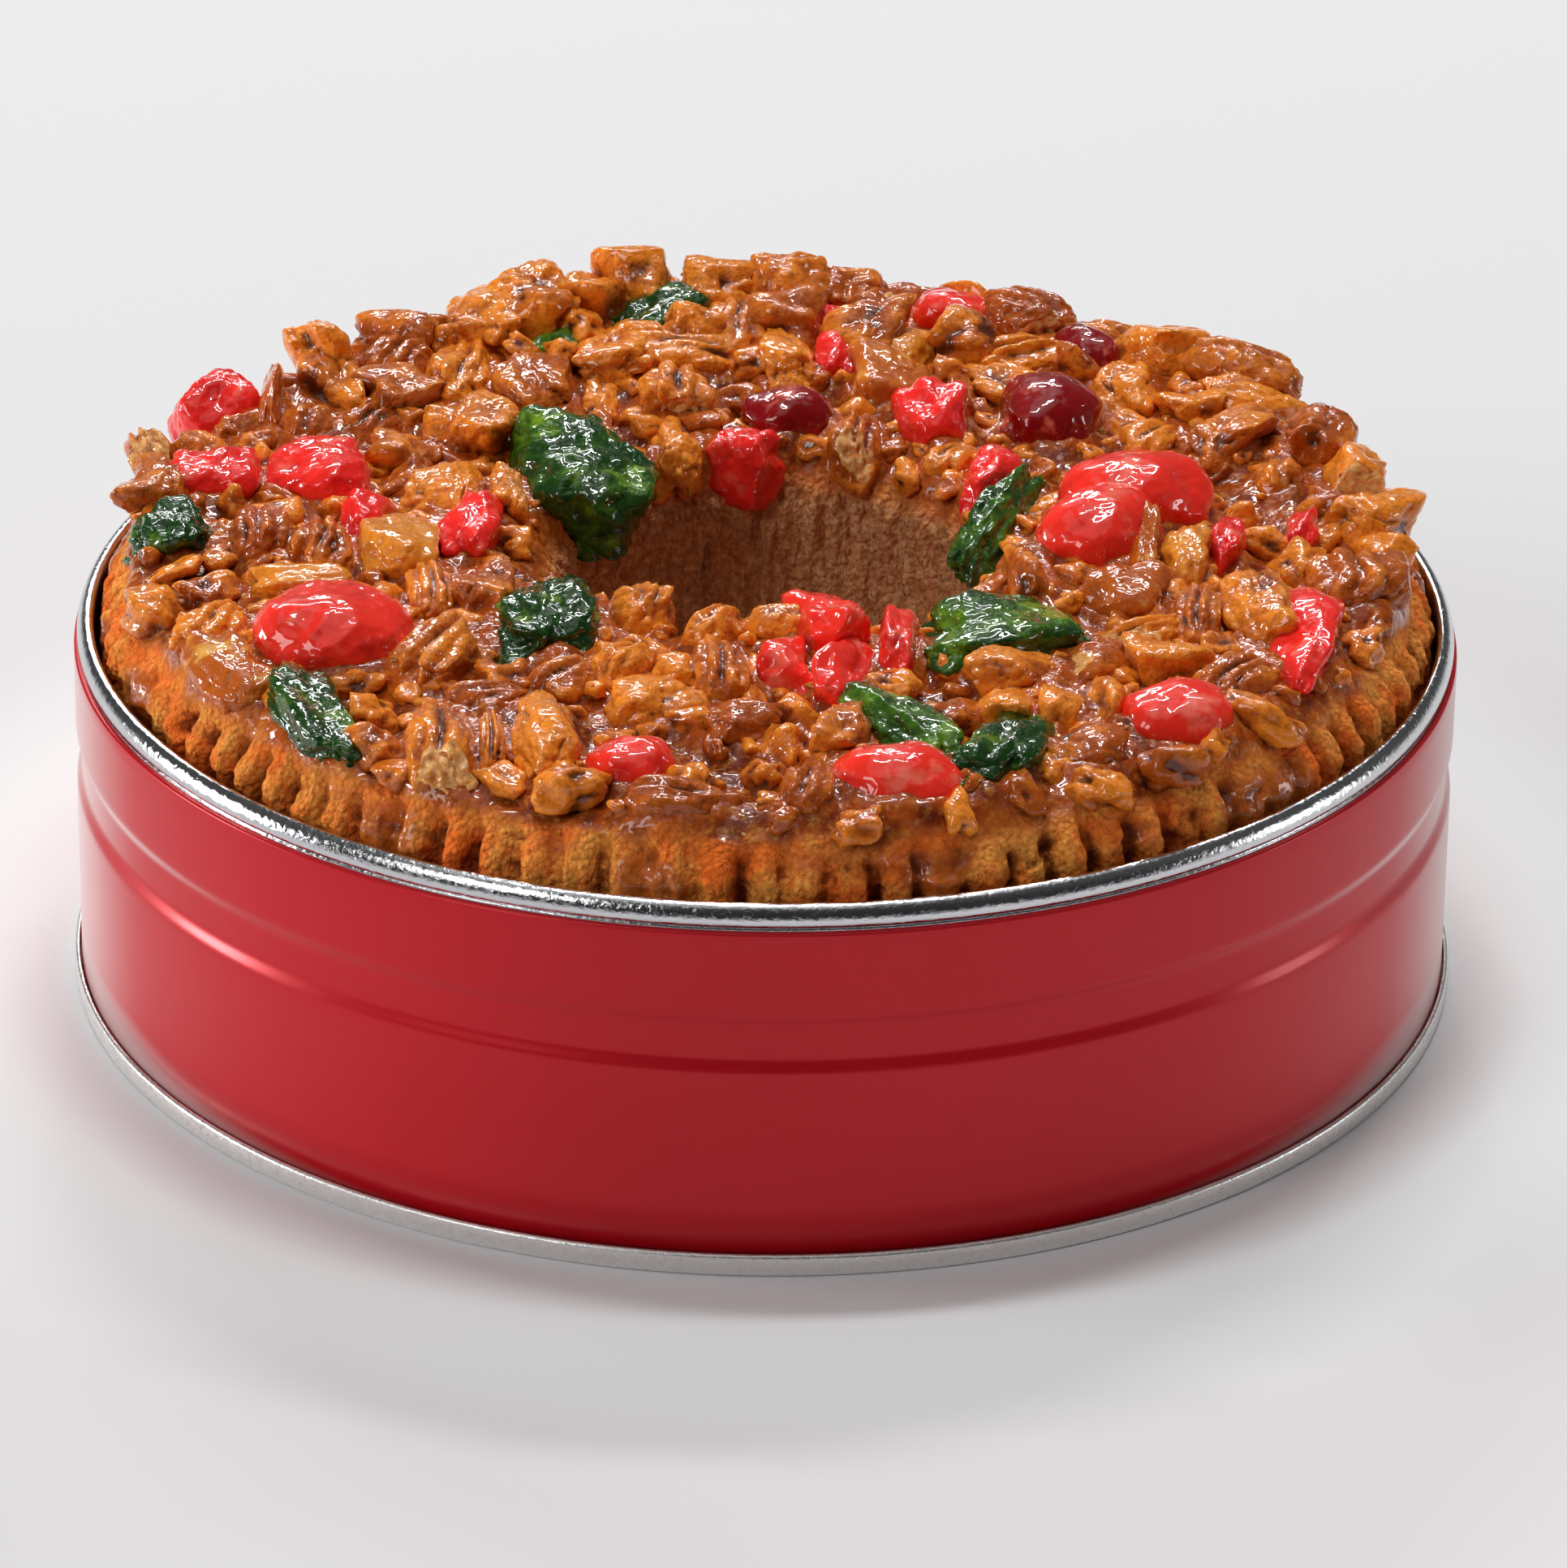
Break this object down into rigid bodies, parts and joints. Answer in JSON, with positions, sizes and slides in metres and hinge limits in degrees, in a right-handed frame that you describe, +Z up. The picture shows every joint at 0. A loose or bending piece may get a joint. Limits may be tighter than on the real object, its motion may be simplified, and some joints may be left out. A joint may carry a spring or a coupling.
{
  "type": "christmas cake in tin",
  "caption": "Ring-shaped Christmas fruit cake covered with glazed pecans, cherries and candied fruit, standing in its own round red tin.",
  "frame": {"origin": "centre of the circle that the tin's bottom seam stands on", "axes": "+Z up, square to the cake's top; -Y faces the picture's viewer and +X is to the viewer's right"},
  "size_m": [0.202, 0.202, 0.0746],
  "materials": {
    "lacquer": "glossy deep red lacquer outside, bare tinplate at the rolled rim and inside",
    "tinplate": "bright rolled tinplate",
    "crumb": "baked golden-brown crumb, porous, sticky with glaze on top, with packed pecans fused on",
    "nut": "glazed toasted pecan",
    "cherry": "wet, syrupy, translucent red",
    "green_fruit": "glazed dark green candied fruit with yellow-green patches",
    "amber_fruit": "glazed amber candied pineapple"
  },
  "bodies": {
    "root": {"amber_candied_01": "amber_fruit", "amber_candied_02": "amber_fruit", "amber_candied_03": "amber_fruit", "amber_candied_04": "amber_fruit", "amber_candied_05": "amber_fruit", "amber_candied_06": "amber_fruit", "amber_candied_07": "amber_fruit", "amber_candied_08": "amber_fruit", "amber_candied_09": "amber_fruit", "amber_candied_10": "amber_fruit", "amber_candied_11": "amber_fruit", "cake_ring": "crumb", "cherry_01": "cherry", "cherry_02": "cherry", "cherry_03": "cherry", "cherry_04": "cherry", "cherry_05": "cherry", "cherry_06": "cherry", "cherry_07": "cherry", "cherry_08": "cherry", "cherry_09": "cherry", "cherry_10": "cherry", "cherry_11": "cherry", "cherry_12": "cherry", "cherry_13": "cherry", "cherry_14": "cherry", "green_candied_01": "green_fruit", "green_candied_02": "green_fruit", "green_candied_03": "green_fruit", "green_candied_04": "green_fruit", "green_candied_05": "green_fruit", "green_candied_06": "green_fruit", "green_candied_07": "green_fruit", "green_candied_08": "green_fruit", "green_candied_09": "green_fruit", "green_candied_10": "green_fruit", "pecan_01": "nut", "pecan_02": "nut", "pecan_03": "nut", "pecan_04": "nut", "pecan_05": "nut", "pecan_06": "nut", "pecan_07": "nut", "pecan_08": "nut", "pecan_09": "nut", "red_candied_01": "cherry", "red_candied_02": "cherry", "red_candied_03": "cherry", "red_candied_04": "cherry", "red_candied_05": "cherry", "red_candied_06": "cherry", "red_candied_07": "cherry", "red_candied_08": "cherry", "red_candied_09": "cherry", "red_candied_10": "cherry", "red_candied_11": "cherry", "red_candied_12": "cherry", "red_candied_13": "cherry", "tin_base": "tinplate", "tin_wall": "lacquer"}
  },
  "joints": []
}
